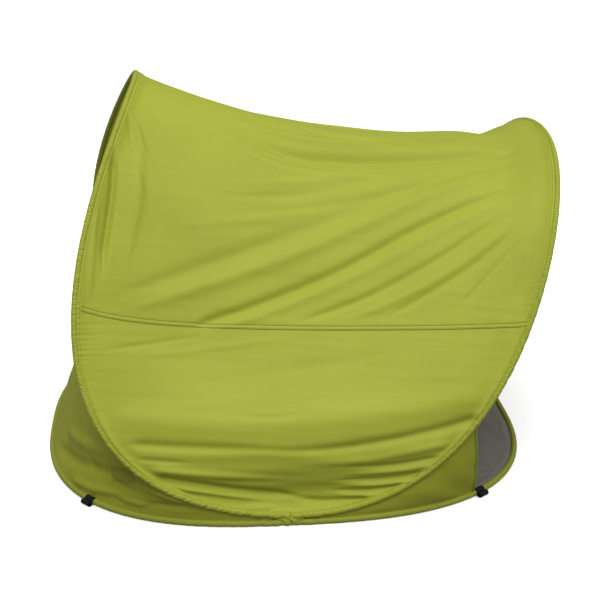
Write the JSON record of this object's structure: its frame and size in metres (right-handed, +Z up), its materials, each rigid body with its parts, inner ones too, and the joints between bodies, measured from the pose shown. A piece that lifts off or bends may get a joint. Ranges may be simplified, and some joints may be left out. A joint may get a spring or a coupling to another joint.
{
  "type": "pop-up beach shelter",
  "caption": "Pop-up beach and sun shelter: lime-green cloth stretched between sprung hoops that frame a grey floor, with a hooded open front, closed back wall and black webbing peg loops.",
  "frame": {"origin": "on the ground, halfway between the left and right base corners where the hoops cross", "axes": "+Z up, -Y towards the open mouth, +X towards the right base corner as seen from the front"},
  "size_m": [1.566, 1.5945, 1.1668],
  "materials": {
    "canopy_cloth": "thin coated polyester, slight sheen",
    "wall_cloth": "thin coated polyester, in shade",
    "sleeve_cloth": "gathered polyester",
    "binding_tape": "woven tape",
    "floor_cloth": "grey waterproof oxford cloth",
    "black_webbing": "woven polyester webbing",
    "glassfibre_rod": "pultruded glass fibre",
    "steel_tube": "crimped tube"
  },
  "bodies": {
    "shelter_base": {"floor_sheet": "floor_cloth", "rear_floor_rod": "glassfibre_rod", "front_floor_rod": "glassfibre_rod", "rear_rod_joiner": "steel_tube", "front_rod_joiner": "steel_tube", "rear_floor_sleeve": "sleeve_cloth", "front_floor_sleeve": "sleeve_cloth", "rear_arch_rod": "glassfibre_rod", "rear_arch_sleeve": "sleeve_cloth", "left_base_tie": "sleeve_cloth", "right_base_tie": "sleeve_cloth", "roof_panel": "canopy_cloth", "left_side_panel": "canopy_cloth", "right_side_panel": "canopy_cloth", "back_wall": "wall_cloth", "left_front_wing": "wall_cloth", "right_front_wing": "wall_cloth", "left_wing_binding": "binding_tape", "right_wing_binding": "binding_tape", "left_inner_pocket": "wall_cloth"},
    "front_arch": {"front_arch_rod": "glassfibre_rod", "front_arch_sleeve": "sleeve_cloth"},
    "front_left_peg_loop": {"front_left_peg_loop": "black_webbing"},
    "front_right_peg_loop": {"front_right_peg_loop": "black_webbing"},
    "rear_left_peg_loop": {"rear_left_peg_loop": "black_webbing"},
    "rear_right_peg_loop": {"rear_right_peg_loop": "black_webbing"}
  },
  "joints": [
    {"name": "front_arch_flex", "type": "hinge", "parent": "shelter_base", "child": "front_arch", "pos_m": [0, 0, 0.032], "axis": [-1, 0, 0], "range_deg": [0, 8], "stiffness_Nm_per_rad": 20, "deforming": ["roof_panel", "left_side_panel", "right_side_panel", "left_front_wing", "right_front_wing", "left_wing_binding", "right_wing_binding"]},
    {"name": "front_left_loop_lift", "type": "hinge", "parent": "shelter_base", "child": "front_left_peg_loop", "pos_m": [-0.62511, -0.57082, 0.01], "axis": [-0.6375, 0.7704, 0], "range_deg": [0, 40]},
    {"name": "front_right_loop_lift", "type": "hinge", "parent": "shelter_base", "child": "front_right_peg_loop", "pos_m": [0.62511, -0.57082, 0.01], "axis": [-0.6375, -0.7704, 0], "range_deg": [0, 40]},
    {"name": "rear_left_loop_lift", "type": "hinge", "parent": "shelter_base", "child": "rear_left_peg_loop", "pos_m": [-0.57992, 0.5671, 0.01], "axis": [0.7618, 0.6478, 0], "range_deg": [0, 40]},
    {"name": "rear_right_loop_lift", "type": "hinge", "parent": "shelter_base", "child": "rear_right_peg_loop", "pos_m": [0.57992, 0.5671, 0.01], "axis": [0.7618, -0.6478, 0], "range_deg": [0, 40]}
  ]
}
